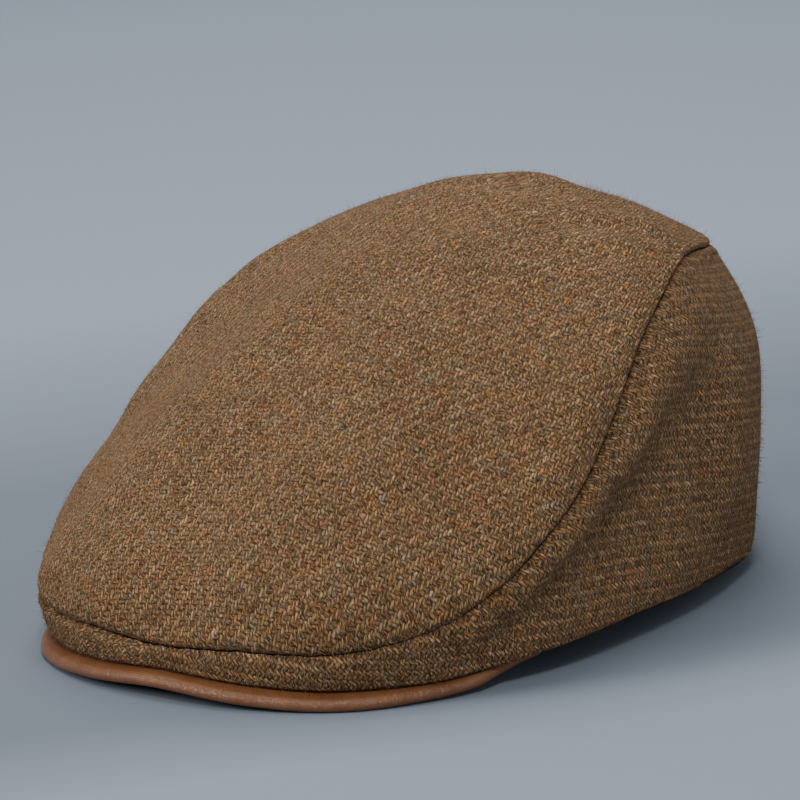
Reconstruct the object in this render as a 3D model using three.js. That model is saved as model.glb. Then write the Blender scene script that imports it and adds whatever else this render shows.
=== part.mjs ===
import * as THREE from 'three';

// Flat cap of wool with a leather peak, resting on its back hem and on its peak.
// Millimetres. The front points to -Y, the wearer's left is +X and the floor is z = 0.

// Plan of the hem, measured from a point on the centre line a little ahead of the ears.
const PLAN_CENTRE_Y = -25;
const HEM_HALF_WIDTH = 87;
const HEM_FRONT = 102;
const HEM_BACK = 127;
const PLAN_FULLNESS = 2.25;

// Cloth walls, seams and hem.
const CLOTH = 2.4;
const SEAM_GAP = 0.3;
const RIM_LIFT = 8.8;
const SEAM_IN = 10;
const SEAM_LOW = 14;
const SEAM_HIGH = 97;
const PUFF = 10;
const DIP_SPREAD = 0.4;

// Top panel.
const SUMMIT_Y = 44;
const SUMMIT_HEIGHT = 117;
const ROLL_LEAN = 25;

// Leather peak.
const PEAK_THICK = 3.6;
const PEAK_REVEAL = 6.5;
const PEAK_WIDTH = 26;
const PEAK_SLOPE = 7;
const PEAK_END = 114;

// Angles run in degrees from 0 at the middle of the back, over 90 at the side, to 180 at the front.
// Side panels. lift: hem height, of RIM_LIFT. inset: seam behind the hem, of SEAM_IN.
// rise: seam height, from SEAM_LOW to SEAM_HIGH. belly and dip: of PUFF, each at its share of height.
const SIDE_SECTIONS = [
  { angle: 0, lift: 0, inset: 0.45, rise: 0.94, belly: 0.8, bellyAt: 0.62, dip: 0, dipAt: 0.6 },
  { angle: 22.5, lift: 0, inset: 0.6, rise: 0.96, belly: 1.05, bellyAt: 0.62, dip: 0, dipAt: 0.6 },
  { angle: 45, lift: 0.55, inset: 1.3, rise: 1, belly: 1.3, bellyAt: 0.64, dip: 0.1, dipAt: 0.75 },
  { angle: 67.5, lift: 0.88, inset: 1.1, rise: 0.86, belly: 0.75, bellyAt: 0.72, dip: 0.4, dipAt: 0.5 },
  { angle: 90, lift: 1, inset: 0.65, rise: 0.58, belly: 0.4, bellyAt: 0.75, dip: 0.45, dipAt: 0.45 },
  { angle: 112.5, lift: 0.83, inset: -0.1, rise: 0.31, belly: 0.25, bellyAt: 0.7, dip: 0.2, dipAt: 0.5 },
  { angle: 122, lift: 0.75, inset: -0.15, rise: 0.2, belly: 0.15, bellyAt: 0.6, dip: 0.1, dipAt: 0.5 },
  { angle: 135, lift: 0.55, inset: -0.2, rise: 0.08, belly: 0.1, bellyAt: 0.5, dip: 0, dipAt: 0.5 },
  { angle: 150, lift: 0.53, inset: -0.15, rise: 0.02, belly: 0.1, bellyAt: 0.5, dip: 0, dipAt: 0.5 },
  { angle: 165, lift: 0.68, inset: -0.05, rise: 0, belly: 0.1, bellyAt: 0.5, dip: 0, dipAt: 0.5 },
  { angle: 180, lift: 0.86, inset: 0, rise: 0, belly: 0.1, bellyAt: 0.5, dip: 0, dipAt: 0.5 },
];

// Top panel, each row a path from the seam up to the summit. lean: how far the roll over the seam
// leans out, of ROLL_LEAN. roll: its length, of the path's reach. crown: how far the top stays level.
const TOP_SECTIONS = [
  { angle: 0, lean: 0.8, roll: 0.08, crown: 0.3 },
  { angle: 22.5, lean: 0.8, roll: 0.08, crown: 0.25 },
  { angle: 45, lean: 0.8, roll: 0.08, crown: 0.25 },
  { angle: 67.5, lean: 1, roll: 0.12, crown: 0.32 },
  { angle: 90, lean: 1, roll: 0.15, crown: 0.4 },
  { angle: 112.5, lean: 0.7, roll: 0.1, crown: 0.42 },
  { angle: 135, lean: 0.8, roll: 0.1, crown: 0.42 },
  { angle: 150, lean: 1.1, roll: 0.13, crown: 0.42 },
  { angle: 165, lean: 0.9, roll: 0.13, crown: 0.4 },
  { angle: 180, lean: 0.7, roll: 0.1, crown: 0.4 },
];

// Peak. reveal: how far it stands out of the hem, of PEAK_REVEAL. thick: of PEAK_THICK.
// width: from its outer edge inwards to the head opening, of PEAK_WIDTH.
const PEAK_SECTIONS = [
  { angle: 114, reveal: -0.6, thick: 0.5, width: 0.16 },
  { angle: 118, reveal: -0.58, thick: 0.7, width: 0.34 },
  { angle: 122, reveal: -0.4, thick: 0.9, width: 0.51 },
  { angle: 128, reveal: 0.1, thick: 1, width: 0.8 },
  { angle: 135, reveal: 0.3, thick: 1, width: 1 },
  { angle: 150, reveal: 0.75, thick: 1, width: 1.15 },
  { angle: 165, reveal: 0.7, thick: 1, width: 1.2 },
  { angle: 180, reveal: 0.6, thick: 1, width: 1.2 },
];

// Fineness of the meshes.
const SIDE_COLUMNS = 44;
const SIDE_ROWS = 11;
const TOP_ROWS = 14;
const PEAK_COLUMNS = 40;
const NOSE_STEPS = 5;
const NORMAL_STEP = 0.01;

// Colours of the two materials, as seen in daylight.
const WOOL = { r: 0.474, g: 0.365, b: 0.263 };
const LEATHER = { r: 0.463, g: 0.318, b: 0.235 };
const WOOL_ROUGHNESS = 0.95;
const LEATHER_ROUGHNESS = 0.5;

const radians = (degrees) => degrees * Math.PI / 180;
const mix = (a, b, share) => a + (b - a) * share;

// Slope of a smooth curve at row i that never overshoots its rows; level at both ends.
function rowSlope(rows, key, i) {
  if (i <= 0 || i >= rows.length - 1) return 0;
  const before = (rows[i][key] - rows[i - 1][key]) / (rows[i].angle - rows[i - 1].angle);
  const after = (rows[i + 1][key] - rows[i][key]) / (rows[i + 1].angle - rows[i].angle);
  if (before * after <= 0) return 0;
  return 2 * before * after / (before + after);
}

// Value of a table's column at any angle, the same on both sides of the cap.
function read(rows, key, angle) {
  const turn = Math.abs(((angle % 360) + 540) % 360 - 180);
  const last = rows.length - 1;
  const at = Math.min(Math.max(turn, rows[0].angle), rows[last].angle);
  let i = 0;
  while (i < last - 1 && rows[i + 1].angle < at) i += 1;
  const span = rows[i + 1].angle - rows[i].angle;
  const t = (at - rows[i].angle) / span;
  const start = rowSlope(rows, key, i) * span;
  const end = rowSlope(rows, key, i + 1) * span;
  const a = rows[i][key];
  const b = rows[i + 1][key];
  return (2 * t ** 3 - 3 * t ** 2 + 1) * a + (t ** 3 - 2 * t ** 2 + t) * start
    + (3 * t ** 2 - 2 * t ** 3) * b + (t ** 3 - t ** 2) * end;
}

// Distance from the plan's centre to the outside of the hem.
function hemReach(angle) {
  const along = Math.cos(radians(angle));
  const across = Math.sin(radians(angle));
  const length = along >= 0 ? HEM_BACK : HEM_FRONT;
  const sum = Math.abs(along / length) ** PLAN_FULLNESS + Math.abs(across / HEM_HALF_WIDTH) ** PLAN_FULLNESS;
  return sum ** (-1 / PLAN_FULLNESS);
}

const hemHeight = (angle) => RIM_LIFT * read(SIDE_SECTIONS, 'lift', angle);
const seamReach = (angle) => hemReach(angle) - SEAM_IN * read(SIDE_SECTIONS, 'inset', angle);
const seamHeight = (angle) => mix(SEAM_LOW, SEAM_HIGH, read(SIDE_SECTIONS, 'rise', angle));

// A point at an angle, a reach from the plan's centre and a height.
function place(angle, reach, height) {
  const turn = radians(angle);
  return new THREE.Vector3(reach * Math.sin(turn), PLAN_CENTRE_Y + reach * Math.cos(turn), height);
}

// Swell that rises from nothing to its peak at a share of the height and falls to nothing again.
function swell(share, peak) {
  const v = Math.min(Math.max(share, 0), 1);
  if (v < peak) return Math.sin(Math.PI / 2 * v / peak);
  return Math.cos(Math.PI / 2 * (v - peak) / (1 - peak));
}

// Soft hollow around a share of the height.
function hollow(share, middle) {
  const away = Math.min(Math.abs(share - middle) / DIP_SPREAD, 1);
  return (1 + Math.cos(Math.PI * away)) / 2;
}

// Outside of a side panel; share 0 is the hem and 1 the seam.
function sideSkin(angle, share) {
  const belly = read(SIDE_SECTIONS, 'belly', angle) * swell(share, read(SIDE_SECTIONS, 'bellyAt', angle));
  const dip = read(SIDE_SECTIONS, 'dip', angle) * hollow(share, read(SIDE_SECTIONS, 'dipAt', angle));
  const reach = mix(hemReach(angle), seamReach(angle), share) + PUFF * (belly - dip);
  return place(angle, reach, mix(hemHeight(angle), seamHeight(angle), share));
}

// Outside of the top panel; share 0 is the seam and 1 the summit.
function topSkin(angle, share) {
  const seam = place(angle, seamReach(angle), seamHeight(angle));
  const summit = new THREE.Vector3(0, SUMMIT_Y, SUMMIT_HEIGHT);
  const away = new THREE.Vector3(seam.x, seam.y - SUMMIT_Y, 0);
  const reach = away.length();
  away.normalize();
  const lean = radians(90 + ROLL_LEAN * read(TOP_SECTIONS, 'lean', angle));
  const roll = reach * read(TOP_SECTIONS, 'roll', angle);
  const crown = reach * read(TOP_SECTIONS, 'crown', angle);
  const weights = [(1 - share) ** 3, 3 * (1 - share) ** 2 * share, 3 * (1 - share) * share ** 2, share ** 3];
  const reaches = [reach, reach - roll * Math.cos(lean), crown, 0];
  const heights = [seam.z, seam.z + roll * Math.sin(lean), summit.z, summit.z];
  const out = weights.reduce((total, weight, i) => total + weight * reaches[i], 0);
  const up = weights.reduce((total, weight, i) => total + weight * heights[i], 0);
  return new THREE.Vector3(away.x * out, SUMMIT_Y + away.y * out, up);
}

// Direction out of a skin at a point inside its edges.
function outward(skin, angle, share) {
  const turn = skin(angle + 1, share).sub(skin(angle - 1, share));
  const climb = skin(angle, share + NORMAL_STEP).sub(skin(angle, share - NORMAL_STEP));
  return turn.cross(climb).normalize();
}

// Inside of a cloth wall. Its edges stay level with the outside, so hems and seams are flat, and the
// inside of the top panel never drops below its seam.
function innerPoint(skin, angle, share, sense) {
  const outside = skin(angle, share);
  const level = place(angle, 1, 0).sub(place(angle, 0, 0));
  const edge = share <= 0 || (share >= 1 && skin === sideSkin);
  const away = edge ? level : outward(skin, angle, share).multiplyScalar(sense);
  const inside = outside.addScaledVector(away, -CLOTH);
  const floor = seamHeight(angle) + SEAM_GAP * (edge ? 0.5 : 2);
  if (skin === topSkin) inside.z = Math.max(inside.z, floor);
  return inside;
}

// Which way the turn and climb of a skin cross: found once from the widest place.
const skinSense = (skin) => (outward(skin, 90, 0.5).x > 0 ? 1 : -1);

// Whether the faces look out of the body: the sum of their signed volumes is then above zero.
function facesLookOut(points, faces) {
  const total = faces.reduce((sum, [a, b, c]) => {
    const cross = new THREE.Vector3().crossVectors(points[b], points[c]);
    return sum + points[a].dot(cross);
  }, 0);
  return total > 0;
}

// One closed mesh from points and triangles.
function closedMesh(name, points, faces, material) {
  const turned = facesLookOut(points, faces) ? faces : faces.map(([a, b, c]) => [a, c, b]);
  const geometry = new THREE.BufferGeometry();
  geometry.setAttribute('position', new THREE.Float32BufferAttribute(points.flatMap((p) => p.toArray()), 3));
  geometry.setIndex(turned.flat());
  geometry.computeVertexNormals();
  const mesh = new THREE.Mesh(geometry, material);
  mesh.name = name;
  return mesh;
}

// Triangles between each closed loop of points and the next. Their diagonals turn over where
// turnedOver says so, which keeps the left of the cap a mirror of its right.
function joinLoops(loops, turnedOver) {
  const size = loops[0].length;
  const faces = [];
  for (let i = 0; i + 1 < loops.length; i += 1) {
    for (let j = 0; j < size; j += 1) {
      const next = (j + 1) % size;
      const [a, b, c, d] = [i * size + j, i * size + next, (i + 1) * size + next, (i + 1) * size + j];
      if (turnedOver(i, j)) faces.push([a, b, d], [b, c, d]);
      else faces.push([a, b, c], [a, c, d]);
    }
  }
  return faces;
}

// A flat end over a loop whose second half runs back beside its first.
function pairedEnd(size) {
  const faces = [];
  for (let j = 0; j < size / 2 - 1; j += 1) {
    faces.push([j, size - 2 - j, j + 1], [j, size - 1 - j, size - 2 - j]);
  }
  return faces;
}

// A flat end over a loop that starts at the point of a rounded edge.
function fannedEnd(size) {
  return Array.from({ length: size - 2 }, (_, j) => [0, j + 2, j + 1]);
}

// Body swept through closed loops, with an end over the first and last of them.
function sweep(name, loops, end, turnedOver, material) {
  const size = loops[0].length;
  const last = (loops.length - 1) * size;
  const faces = joinLoops(loops, turnedOver);
  end(size).forEach(([a, b, c]) => faces.push([a, b, c], [last + a, last + c, last + b]));
  return closedMesh(name, loops.flat(), faces, material);
}

// Side panel: its outside from hem to seam, then its inside back down, at each angle.
function sidePanel(name, hand, material) {
  const sense = skinSense(sideSkin);
  const loops = [];
  for (let i = 0; i <= SIDE_COLUMNS; i += 1) {
    const even = 180 * i / SIDE_COLUMNS;
    const cut = SEAM_GAP / 2 / hemReach(even) * 180 / Math.PI;
    const angle = Math.min(Math.max(even, cut), 180 - cut);
    const shares = Array.from({ length: SIDE_ROWS + 1 }, (_, j) => j / SIDE_ROWS);
    const outside = shares.map((share) => sideSkin(angle, share));
    const inside = shares.map((share) => innerPoint(sideSkin, angle, share, sense));
    outside[SIDE_ROWS].z -= SEAM_GAP / 2;
    inside[SIDE_ROWS].z -= SEAM_GAP / 2;
    const loop = [...outside, ...inside.reverse()];
    loop.forEach((p) => p.setX(p.x * hand));
    loops.push(loop);
  }
  return sweep(name, loops, pairedEnd, () => false, material);
}

// Top panel: rings from the summit's inside, down to the seam and up the outside to the summit.
function topPanel(name, material) {
  const sense = skinSense(topSkin);
  const columns = 2 * SIDE_COLUMNS;
  const ring = (pick) => Array.from({ length: columns }, (_, i) => pick(360 * i / columns));
  const shares = Array.from({ length: TOP_ROWS }, (_, j) => j / TOP_ROWS);
  const outside = shares.map((share) => ring((angle) => topSkin(angle, share)));
  const inside = shares.map((share) => ring((angle) => innerPoint(topSkin, angle, share, sense)));
  outside[0].forEach((p) => p.setZ(p.z + SEAM_GAP / 2));
  const rings = [...inside.reverse(), ...outside];
  const points = rings.flat();
  const faces = joinLoops(rings, (i, j) => j < SIDE_COLUMNS);
  const under = points.push(new THREE.Vector3(0, SUMMIT_Y, SUMMIT_HEIGHT - CLOTH)) - 1;
  const over = points.push(new THREE.Vector3(0, SUMMIT_Y, SUMMIT_HEIGHT)) - 1;
  const top = (rings.length - 1) * columns;
  for (let j = 0; j < columns; j += 1) {
    const next = (j + 1) % columns;
    faces.push([under, next, j], [over, top + j, top + next]);
  }
  return closedMesh(name, points, faces, material);
}

// Peak: at each angle a rounded outer edge, a top sloping up to the head opening and its underside.
function leatherPeak(name, material) {
  const slope = Math.tan(radians(PEAK_SLOPE));
  const loops = [];
  for (let i = 0; i <= PEAK_COLUMNS; i += 1) {
    const angle = mix(PEAK_END, 360 - PEAK_END, i / PEAK_COLUMNS);
    const thick = PEAK_THICK * read(PEAK_SECTIONS, 'thick', angle);
    const width = PEAK_WIDTH * read(PEAK_SECTIONS, 'width', angle);
    const reveal = PEAK_REVEAL * read(PEAK_SECTIONS, 'reveal', angle);
    const edge = hemReach(angle) + reveal;
    const low = hemHeight(angle) - SEAM_GAP - thick - slope * (reveal + CLOTH);
    const upper = [];
    const lower = [];
    for (let k = 0; k <= NOSE_STEPS; k += 1) {
      const turn = Math.PI / 2 * k / NOSE_STEPS;
      const back = thick / 2 * (1 - Math.cos(turn));
      const drop = thick / 2 * Math.sin(turn);
      const line = low + thick / 2 + slope * back;
      upper.push(place(angle, edge - back, line + drop));
      lower.push(place(angle, edge - back, line - drop));
    }
    [0.5, 1].forEach((share) => {
      const back = mix(thick / 2, width, share);
      upper.push(place(angle, edge - back, low + thick + slope * back));
      lower.push(place(angle, edge - back, low + slope * back));
    });
    loops.push([...upper, ...lower.slice(1).reverse()]);
  }
  return sweep(name, loops, fannedEnd, (i) => i >= PEAK_COLUMNS / 2, material);
}

function finish(colour, roughness) {
  const { r, g, b } = colour;
  const material = new THREE.MeshStandardMaterial({ roughness, metalness: 0 });
  material.color.setRGB(r, g, b, THREE.SRGBColorSpace);
  return material;
}

const cap = new THREE.Group();
cap.name = 'flat_cap';
cap.add(topPanel('crown_top', finish(WOOL, WOOL_ROUGHNESS)));
cap.add(sidePanel('side_left', 1, finish(WOOL, WOOL_ROUGHNESS)));
cap.add(sidePanel('side_right', -1, finish(WOOL, WOOL_ROUGHNESS)));
cap.add(leatherPeak('peak', finish(LEATHER, LEATHER_ROUGHNESS)));

// The origin sits under the middle of the whole cap.
const bounds = new THREE.Box3().setFromObject(cap);
const middle = bounds.getCenter(new THREE.Vector3());
cap.children.forEach((mesh) => mesh.geometry.translate(-middle.x, -middle.y, -bounds.min.z));

export default cap;
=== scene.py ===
# %% [markdown]
# A flat cap in brown wool with a tan leather peak, dressed in Blender.
# The packed model is the fixed frame: it says where each panel lies and how big it is. Every step here
# replaces one of its plain solids with a finer piece of cloth or leather in the same place.
# Lengths are millimetres while a shape is worked out, and metres once it becomes a mesh.

import math

import bpy
import numpy as np
from mathutils import Matrix, Vector


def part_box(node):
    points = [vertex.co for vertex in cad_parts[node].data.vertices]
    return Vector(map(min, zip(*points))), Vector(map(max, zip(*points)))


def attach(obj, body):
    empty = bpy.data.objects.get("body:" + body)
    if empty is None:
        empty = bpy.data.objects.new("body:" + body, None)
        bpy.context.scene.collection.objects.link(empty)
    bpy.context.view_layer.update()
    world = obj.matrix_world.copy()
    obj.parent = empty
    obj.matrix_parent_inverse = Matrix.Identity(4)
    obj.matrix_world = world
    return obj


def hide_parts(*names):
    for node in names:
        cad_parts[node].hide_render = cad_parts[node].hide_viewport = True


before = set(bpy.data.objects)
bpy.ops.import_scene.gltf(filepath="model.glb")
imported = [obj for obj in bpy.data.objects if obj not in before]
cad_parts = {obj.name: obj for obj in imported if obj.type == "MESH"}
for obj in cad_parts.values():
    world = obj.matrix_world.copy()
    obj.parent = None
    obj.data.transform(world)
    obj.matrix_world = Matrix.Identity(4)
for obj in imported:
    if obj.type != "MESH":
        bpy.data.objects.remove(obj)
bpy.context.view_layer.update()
MM = 0.001
for name in sorted(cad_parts):
    low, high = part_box(name)
    print(name, [round(v / MM, 1) for v in low], [round(v / MM, 1) for v in high])

# %% [markdown]
# The camera comes first, because every later choice is judged through it.
# The photo was taken with a long lens from about a metre away, a little above the cap and turned
# 38 degrees from its front towards the wearer's left, with the camera tipped by three degrees.
# A long lens keeps the far edge nearly as large as the near one, so the cap doesn't look stretched.

# %% Place the camera
CAMERA_TURN = math.radians(38)
CAMERA_RISE = math.radians(12.67)
CAMERA_TIP = math.radians(-2.73)
CAMERA_DISTANCE = 1.2
CAMERA_AIM = Vector((-0.0095, 0.0084, 0.0564))
SENSOR = 36
FOCAL_PIXELS = 4071
PICTURE_PIXELS = 800
FAR_CLIP = 20

flat_reach = math.cos(CAMERA_RISE)
backward = Vector((
    math.sin(CAMERA_TURN) * flat_reach,
    -math.cos(CAMERA_TURN) * flat_reach,
    math.sin(CAMERA_RISE),
))
level_right = Vector((math.cos(CAMERA_TURN), math.sin(CAMERA_TURN), 0))
level_up = backward.cross(level_right)
right = level_right * math.cos(CAMERA_TIP) + level_up * math.sin(CAMERA_TIP)
up = level_up * math.cos(CAMERA_TIP) - level_right * math.sin(CAMERA_TIP)

lens = bpy.data.cameras.new("camera")
lens.sensor_width = SENSOR
lens.lens = FOCAL_PIXELS / PICTURE_PIXELS * SENSOR
lens.clip_end = FAR_CLIP
camera = bpy.data.objects.new("camera", lens)
bpy.context.scene.collection.objects.link(camera)
placing = Matrix((right, up, backward)).transposed().to_4x4()
placing.translation = CAMERA_AIM + backward * CAMERA_DISTANCE
camera.matrix_world = placing
bpy.context.scene.camera = camera
print("camera at", [round(v, 3) for v in placing.translation], "lens", round(lens.lens, 1))

# %% [markdown]
# A cap is drafted from its head opening. These are the cap's own measurements: the plan of the hem,
# the height of the seam all the way round, and how far each panel swells.
# Tables with named columns hold how each of them changes from the middle of the back (0 degrees),
# over the ear (90) to the middle of the front (180). They are shares of the sizes above them, so
# that one cap can be made wider or taller without drafting it again. Only the seam's ease, which
# lifts or lowers it a little against its rise, is in millimetres.

# %% Write down the cap's measurements
HEM_HALF_WIDTH = 87
HEM_FRONT = 102
HEM_BACK = 127
PLAN_FULLNESS = 2.25
CLOTH = 2.4
PEAK_GAP = 0.3
SEWN_GAP = 0.06
RIM_LIFT = 8.8
SEAM_IN = 10
SEAM_LOW = 14
SEAM_HIGH = 97
PUFF = 10
DIP_SPREAD = 0.4
SUMMIT_FROM_CENTRE = 69
SUMMIT_HEIGHT = 117
ROLL_LEAN = 25
PEAK_THICK = 3.6
PEAK_REVEAL = 6.5
PEAK_WIDTH = 26
PEAK_SLOPE = 7
PEAK_END = 114


def table(columns, *rows):
    """A table of named columns."""
    return {name: np.array([row[i] for row in rows], float) for i, name in enumerate(columns.split())}


SIDE = table(
    "angle lift inset rise belly belly_at dip dip_at ease",
    (0, 0, 0.45, 0.94, 0.8, 0.62, 0, 0.6, 0),
    (22.5, 0, 0.6, 0.96, 1.05, 0.62, 0, 0.6, 0),
    (45, 0.55, 1.3, 1, 1.3, 0.64, 0.1, 0.75, 1),
    (67.5, 0.88, 1.1, 0.86, 0.75, 0.72, 0.4, 0.5, 0.8),
    (90, 1, 0.65, 0.58, 0.4, 0.75, 0.45, 0.45, -0.3),
    (112.5, 0.83, -0.1, 0.31, 0.25, 0.7, 0.2, 0.5, 0.5),
    (122, 0.75, -0.15, 0.2, 0.15, 0.6, 0.1, 0.5, -1),
    (135, 0.55, -0.2, 0.08, 0.1, 0.5, 0, 0.5, -0.8),
    (150, 0.53, -0.15, 0.02, 0.1, 0.5, 0, 0.5, -0.4),
    (165, 0.68, -0.05, 0, 0.1, 0.5, 0, 0.5, 1.4),
    (180, 0.86, 0, 0, 0.1, 0.5, 0, 0.5, 0.4),
)
TOP = table(
    "angle lean roll crown",
    (0, 0.8, 0.08, 0.3),
    (22.5, 0.8, 0.08, 0.25),
    (45, 0.8, 0.08, 0.25),
    (67.5, 1, 0.12, 0.32),
    (90, 1, 0.15, 0.4),
    (112.5, 0.7, 0.1, 0.42),
    (135, 0.8, 0.1, 0.42),
    (150, 1.1, 0.13, 0.42),
    (165, 0.9, 0.13, 0.4),
    (180, 0.7, 0.1, 0.4),
)
PEAK = table(
    "angle reveal thick width",
    (114, -0.6, 0.5, 0.16),
    (118, -0.58, 0.7, 0.34),
    (122, -0.4, 0.9, 0.51),
    (128, 0.1, 1, 0.8),
    (135, 0.3, 1, 1),
    (150, 0.75, 1, 1.15),
    (165, 0.7, 1, 1.2),
    (180, 0.6, 1, 1.2),
)
PLAN_CENTRE_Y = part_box("peak")[0].y / MM + HEM_FRONT + PEAK_REVEAL * PEAK["reveal"][-1]
SUMMIT_Y = PLAN_CENTRE_Y + SUMMIT_FROM_CENTRE
print("middle of the plan at y =", round(PLAN_CENTRE_Y, 2))

# %% [markdown]
# Between the rows of a table the cloth runs smoothly, and it never swells past a row.
# A curve whose slope is level at each turning point does that.

# %% Read a table at any angle


def from_back(angle):
    """Angle from the middle of the back, from 0 to 180 and the same on both sides of the cap."""
    return np.abs((np.asarray(angle, float) + 180) % 360 - 180)


def column_slopes(at, value):
    """Slope of a smooth curve at each row that never overshoots its rows."""
    step = np.diff(value) / np.diff(at)
    before, after = step[:-1], step[1:]
    turning = before * after <= 0
    total = np.where(turning, 1, before + after)
    inner = np.where(turning, 0, 2 * before * after / total)
    return np.concatenate([[0], inner, [0]])


def read(rows, column, angle):
    """Value of a table's column at any angle."""
    at = rows["angle"]
    value = rows[column]
    slope = column_slopes(at, value)
    turn = np.clip(from_back(angle), at[0], at[-1])
    i = np.clip(np.searchsorted(at, turn, side="right") - 1, 0, len(at) - 2)
    span = at[i + 1] - at[i]
    t = (turn - at[i]) / span
    start = (2 * t**3 - 3 * t**2 + 1) * value[i] + (t**3 - 2 * t**2 + t) * slope[i] * span
    end = (3 * t**2 - 2 * t**3) * value[i + 1] + (t**3 - t**2) * slope[i + 1] * span
    return start + end


print("hem lift over the ear:", RIM_LIFT * float(read(SIDE, "lift", 90)), "mm")

# %% [markdown]
# Every point of the cap is given by an angle round the middle of the plan, a reach from there and a
# height. Two lines fix the pattern. The hem's plan is an oval a little fuller than an ellipse, as a
# head is. The seam starts high at the back and drops to the front. Stitches never leave cloth quite
# even, so small waves of uneven length run along the seam.

# %% Draw the hem and the seam
PUCKER_HEIGHT = 0.3
PUCKERS = (
    # length in degrees, start
    (2.3, 0.4),
    (3.1, 0.0),
    (4.6, 1.3),
    (7.9, 2.2),
)


def place(angle, reach, height):
    """Points at an angle, a reach from the middle of the plan and a height."""
    turn = np.radians(angle)
    x, y = reach * np.sin(turn), PLAN_CENTRE_Y + reach * np.cos(turn)
    return np.stack(np.broadcast_arrays(x, y, height), -1)


def hem_reach(angle):
    """Distance from the middle of the plan to the outside of the hem."""
    along = np.cos(np.radians(angle))
    across = np.sin(np.radians(angle))
    length = np.where(along >= 0, HEM_BACK, HEM_FRONT)
    total = np.abs(along / length) ** PLAN_FULLNESS + np.abs(across / HEM_HALF_WIDTH) ** PLAN_FULLNESS
    return total ** (-1 / PLAN_FULLNESS)


def hem_height(angle):
    """Height of the hem above the floor."""
    return RIM_LIFT * read(SIDE, "lift", angle)


def pucker(angle):
    """Small uneven waves that the stitches leave along the seam, from -1 to 1."""
    turn = from_back(angle)
    total = sum(np.sin(2 * math.pi * turn / length + start) for length, start in PUCKERS)
    return total / len(PUCKERS)


def seam_reach(angle):
    """Distance from the middle of the plan to the seam."""
    return hem_reach(angle) - SEAM_IN * read(SIDE, "inset", angle)


def seam_height(angle):
    """Height of the seam, with its ease and its puckers."""
    rise = SEAM_LOW + (SEAM_HIGH - SEAM_LOW) * read(SIDE, "rise", angle)
    return rise + read(SIDE, "ease", angle) + PUCKER_HEIGHT * pucker(angle)


print("hem over the ear at", np.round(place(90.0, hem_reach(90.0), hem_height(90.0)), 1))

# %% [markdown]
# The side panel is a wall that stands on the hem and leans in to the seam. It swells below the seam
# and has a soft hollow over the ear, where nothing fills it.
# The top panel starts at the same seam, rolls over it, and runs to the summit near the back.
# Both are written as skins: a rule that gives a point for an angle and a share of the way up.

# %% Shape the skins of both panels


def swell(share, top):
    """Rises from nothing to one at a share of the height and falls to nothing again."""
    rising = np.sin(math.pi / 2 * share / top)
    falling = np.cos(math.pi / 2 * (share - top) / (1 - top))
    return np.where(share < top, rising, falling)


def hollow(share, middle):
    """A soft hollow around a share of the height."""
    away = np.minimum(np.abs(share - middle) / DIP_SPREAD, 1)
    return (1 + np.cos(math.pi * away)) / 2


def side_skin(angle, share):
    """Outside of a side panel; share 0 is the hem and 1 the seam."""
    belly = read(SIDE, "belly", angle) * swell(share, read(SIDE, "belly_at", angle))
    dip = read(SIDE, "dip", angle) * hollow(share, read(SIDE, "dip_at", angle))
    low, high = hem_reach(angle), seam_reach(angle)
    floor, ceiling = hem_height(angle), seam_height(angle) - SEWN_GAP / 2
    reach = low + (high - low) * share + PUFF * (belly - dip)
    return place(angle, reach, floor + (ceiling - floor) * share)


def top_skin(angle, share):
    """Outside of the top panel; share 0 is the seam and 1 the summit."""
    seam = place(angle, seam_reach(angle), seam_height(angle) + SEWN_GAP / 2)
    x, y, low = seam[..., 0], seam[..., 1] - SUMMIT_Y, seam[..., 2]
    reach = np.hypot(x, y)
    lean = np.radians(90 + ROLL_LEAN * read(TOP, "lean", angle))
    roll = reach * read(TOP, "roll", angle)
    crown = reach * read(TOP, "crown", angle)
    first, second, third = (1 - share) ** 3, 3 * (1 - share) ** 2 * share, 3 * (1 - share) * share**2
    out = first * reach + second * (reach - roll * np.cos(lean)) + third * crown
    rise = first * low + second * (low + roll * np.sin(lean)) + (third + share**3) * SUMMIT_HEIGHT
    return np.stack(np.broadcast_arrays(x / reach * out, SUMMIT_Y + y / reach * out, rise), -1)


print("seam over the ear at", np.round(side_skin(90.0, 1.0), 1), "and", np.round(top_skin(90.0, 0.0), 1))

# %% [markdown]
# A seam needs many small faces and a smooth panel few, so rows are spread by length along the cloth:
# close together near a sewn edge and wider apart elsewhere. Each row of points across a panel is
# measured first, and the rows are then laid at chosen distances.

# %% Spread rows by length
PROBE_POINTS = 241
MOST_CROWDED = 0.45


def lengths_along(points, axis):
    """Length along a grid of points from its first row, down one axis."""
    steps = np.linalg.norm(np.diff(points, axis=axis), axis=-1)
    start = np.zeros_like(np.take(steps, [0], axis=axis))
    return np.concatenate([start, np.cumsum(steps, axis=axis)], axis=axis)


def shares_at(skin, angles, marks):
    """For each angle, the shares where the skin's length reaches the marks, from 0 to 1 of it."""
    probe = np.linspace(0, 1, PROBE_POINTS)
    lengths = lengths_along(skin(angles[:, None], probe[None, :]), axis=1)
    found = [np.interp(marks(total[-1]) * total[-1], total, probe) for total in lengths]
    return np.array(found)


def crowded(plain, fine, edge, at_end):
    """A rule for marks, with extra rows within an edge's width of the start or the end."""

    def marks(total):
        near = min(edge / total, MOST_CROWDED)
        close = np.linspace(0, near, fine, endpoint=False)
        rest = np.linspace(near, 1, plain)
        forward = np.concatenate([close, rest])
        return 1 - forward[::-1] if at_end else forward

    return marks


print("rows over 60 mm, crowded at the end:", np.round(crowded(5, 4, 5, True)(60.0), 2))

# %% [markdown]
# Cloth is cut flat. To lay the weave on a panel as the loom made it, the panel is flattened the way a
# pattern cutter does it: a coarse copy of it is pressed flat, and its points move until each short
# stretch has its true length again.

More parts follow.
